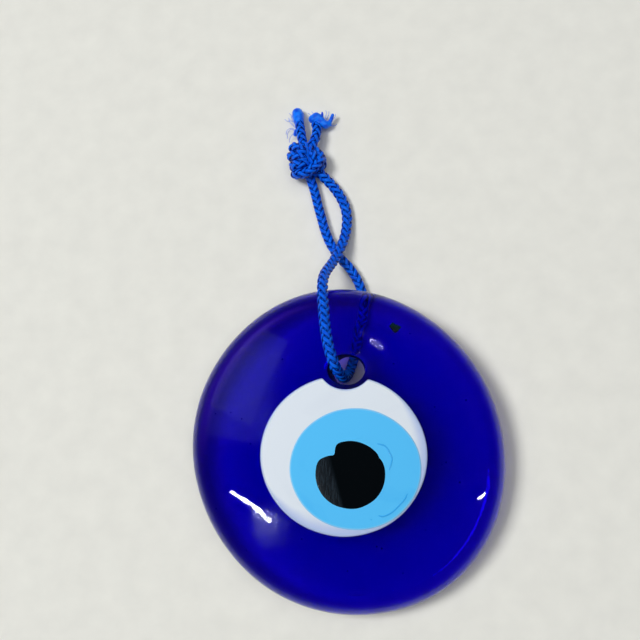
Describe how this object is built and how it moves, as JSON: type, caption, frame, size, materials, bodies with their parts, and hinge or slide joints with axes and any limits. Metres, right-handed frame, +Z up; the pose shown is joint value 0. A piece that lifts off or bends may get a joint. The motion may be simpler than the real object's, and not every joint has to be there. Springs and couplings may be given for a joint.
{
  "type": "evil eye ornament",
  "caption": "Domed blue glass disc with a fused white, light blue and black eye, lying face up on its knotted hanging loop of braided cord.",
  "frame": {"origin": "on the resting surface, below the centre of the glass disc", "axes": "+Z up from the resting surface through the eye; +Y from the eye past the hanging hole to the knot"},
  "size_m": [0.06, 0.1008, 0.0136],
  "materials": {
    "cobalt_glass": "fire-polished transparent cobalt glass",
    "white_glass": "glossy opaque white glass",
    "light_blue_glass": "glossy opaque light blue glass",
    "black_glass": "glossy opaque black glass",
    "braided_cord": "braided shiny polyester cord",
    "melted_cord": "cord ends melted to a smooth bead"
  },
  "bodies": {
    "disc": {"glass_body": "cobalt_glass", "white_layer": "white_glass", "light_blue_layer": "light_blue_glass", "black_pupil": "black_glass"},
    "hanging_loop": {"cord_front_leg": "braided_cord", "cord_back_leg": "braided_cord", "cord_knot": "braided_cord", "cord_tail_left": "braided_cord", "cord_tail_right": "braided_cord", "melted_bead_left": "melted_cord", "melted_lump_right": "melted_cord"}
  },
  "joints": [
    {"name": "loop_swing", "type": "hinge", "parent": "disc", "child": "hanging_loop", "pos_m": [0.0005, 0.0152, 0.0061], "axis": [0, 0, 1], "range_deg": [-50, 30]}
  ]
}
